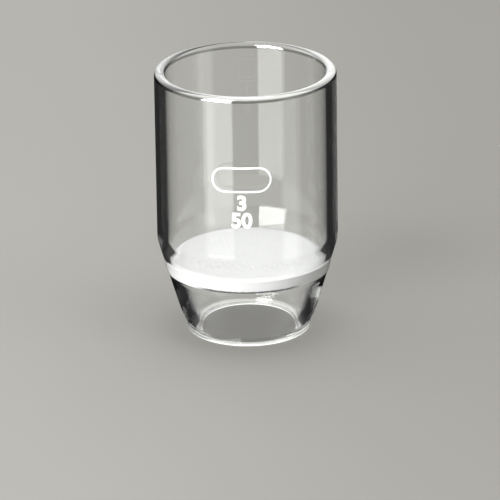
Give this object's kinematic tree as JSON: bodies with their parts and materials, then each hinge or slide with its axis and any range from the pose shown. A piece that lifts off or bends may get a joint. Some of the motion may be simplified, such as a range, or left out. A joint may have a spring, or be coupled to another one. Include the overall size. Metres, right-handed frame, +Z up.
{
  "type": "filter crucible",
  "caption": "Clear glass filter crucible with a straight wall, a rounded shoulder, a tapered skirt on an open ring foot and a white sintered disc fused in above the taper.",
  "frame": {"origin": "centre of the foot's underside", "axes": "+Z up along the crucible's axis, towards the open rim; +X to the right and +Y away as the picture shows it"},
  "size_m": [0.045, 0.045, 0.0675],
  "materials": {
    "clear_glass": "fire-polished clear borosilicate glass",
    "sintered_glass": "matt white sintered glass grains",
    "white_enamel": "baked white enamel print"
  },
  "bodies": {
    "root": {"glass_body": "clear_glass", "sintered_disc": "sintered_glass"}
  },
  "joints": []
}
